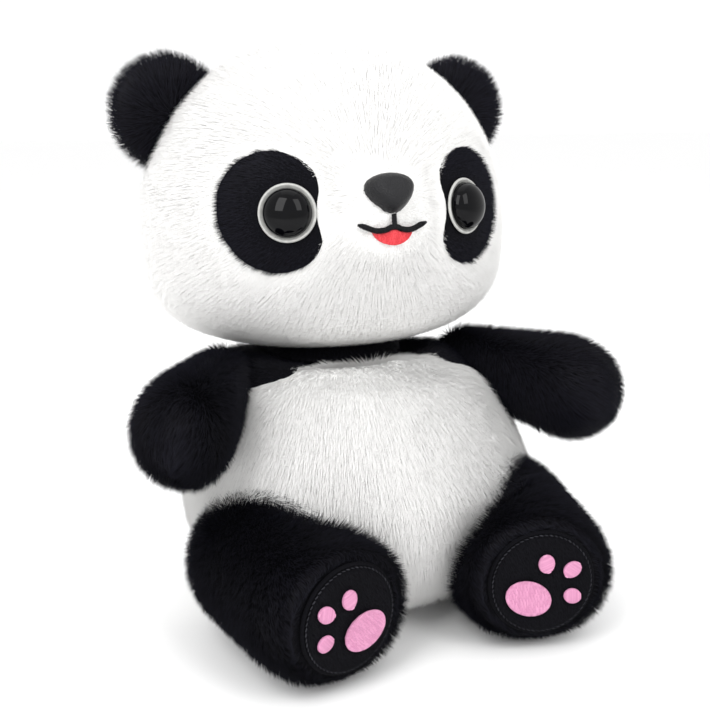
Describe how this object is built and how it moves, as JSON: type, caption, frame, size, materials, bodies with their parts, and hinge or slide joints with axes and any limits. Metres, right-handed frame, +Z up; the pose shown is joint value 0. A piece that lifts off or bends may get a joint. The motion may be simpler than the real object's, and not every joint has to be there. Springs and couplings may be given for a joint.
{
  "type": "plush toy panda",
  "caption": "Sitting stuffed toy panda in long-pile plush, with button eyes, a moulded nose, embroidered paw prints and soft joints at the neck, ears, arms and legs.",
  "frame": {"origin": "centre line of the seat, on the surface that the toy sits on, below the neck's pivot", "axes": "+Z up, -Y the way the face looks, +X the panda's own left side"},
  "size_m": [0.2208, 0.2044, 0.248],
  "materials": {
    "white_plush": "long soft pile",
    "black_plush": "long soft pile",
    "short_pile": "short dense pile",
    "stuffing": "loose fibre",
    "eye_plastic": "polished",
    "eye_ring": "satin",
    "nose_plastic": "fine leather grain",
    "washer_plastic": "plain",
    "black_thread": "satin stitch",
    "red_thread": "satin stitch",
    "pink_thread": "satin stitch"
  },
  "bodies": {
    "torso": {"belly_panel": "white_plush", "back_panel": "white_plush", "shoulder_yoke": "black_plush", "torso_stuffing": "stuffing"},
    "left_arm": {"left_arm_cover": "black_plush", "left_arm_stuffing": "stuffing"},
    "left_leg": {"left_leg_cover": "black_plush", "left_leg_stuffing": "stuffing", "left_sole_patch": "short_pile", "left_sole_seam": "black_thread", "left_heel_pad": "pink_thread", "left_inner_toe_pad": "pink_thread", "left_middle_toe_pad": "pink_thread", "left_outer_toe_pad": "pink_thread"},
    "right_arm": {"right_arm_cover": "black_plush", "right_arm_stuffing": "stuffing"},
    "right_leg": {"right_leg_cover": "black_plush", "right_leg_stuffing": "stuffing", "right_sole_patch": "short_pile", "right_sole_seam": "black_thread", "right_heel_pad": "pink_thread", "right_inner_toe_pad": "pink_thread", "right_middle_toe_pad": "pink_thread", "right_outer_toe_pad": "pink_thread"},
    "neck": {"neck_collar": "black_plush"},
    "head": {"head_front_panel": "white_plush", "head_back_panel": "white_plush", "muzzle_panel": "white_plush", "head_stuffing": "stuffing", "left_eye_patch": "black_plush", "right_eye_patch": "black_plush", "left_eye_dome": "eye_plastic", "left_eye_ring": "eye_ring", "left_eye_washer": "washer_plastic", "right_eye_dome": "eye_plastic", "right_eye_ring": "eye_ring", "right_eye_washer": "washer_plastic", "nose": "nose_plastic", "nose_washer": "washer_plastic", "mouth_stitching": "black_thread", "tongue_embroidery": "red_thread"},
    "left_ear": {"left_ear_front_panel": "black_plush", "left_ear_back_panel": "black_plush", "left_ear_stuffing": "stuffing"},
    "right_ear": {"right_ear_front_panel": "black_plush", "right_ear_back_panel": "black_plush", "right_ear_stuffing": "stuffing"}
  },
  "joints": [
    {"name": "neck_turn", "type": "hinge", "parent": "torso", "child": "neck", "pos_m": [0, 0, 0.088], "axis": [0, 0, 1], "range_deg": [-30, 30], "stiffness_Nm_per_rad": 0.6},
    {"name": "neck_nod", "type": "hinge", "parent": "neck", "child": "head", "pos_m": [0, 0, 0.088], "axis": [1, 0, 0], "range_deg": [-8, 7], "stiffness_Nm_per_rad": 0.9},
    {"name": "left_ear_flop", "type": "hinge", "parent": "head", "child": "left_ear", "pos_m": [0.06985, 0.018, 0.21444], "axis": [0.5893, 0, -0.8079], "range_deg": [-15, 15], "stiffness_Nm_per_rad": 0.05},
    {"name": "right_ear_flop", "type": "hinge", "parent": "head", "child": "right_ear", "pos_m": [-0.06985, 0.018, 0.21444], "axis": [0.5893, 0, 0.8079], "range_deg": [-15, 15], "stiffness_Nm_per_rad": 0.05},
    {"name": "left_arm_raise", "type": "hinge", "parent": "torso", "child": "left_arm", "pos_m": [0.059, -0.02, 0.101], "axis": [-0.8526, -0.5225, 0], "range_deg": [-12, 30], "stiffness_Nm_per_rad": 0.25},
    {"name": "left_leg_raise", "type": "hinge", "parent": "torso", "child": "left_leg", "pos_m": [0.05, -0.06, 0.0344], "axis": [-0.9962, 0.0872, 0], "range_deg": [0, 24], "stiffness_Nm_per_rad": 0.35},
    {"name": "right_arm_raise", "type": "hinge", "parent": "torso", "child": "right_arm", "pos_m": [-0.059, -0.02, 0.101], "axis": [-0.8526, 0.5225, 0], "range_deg": [-12, 30], "stiffness_Nm_per_rad": 0.25},
    {"name": "right_leg_raise", "type": "hinge", "parent": "torso", "child": "right_leg", "pos_m": [-0.05, -0.06, 0.0344], "axis": [-0.9962, -0.0872, 0], "range_deg": [0, 24], "stiffness_Nm_per_rad": 0.35}
  ]
}
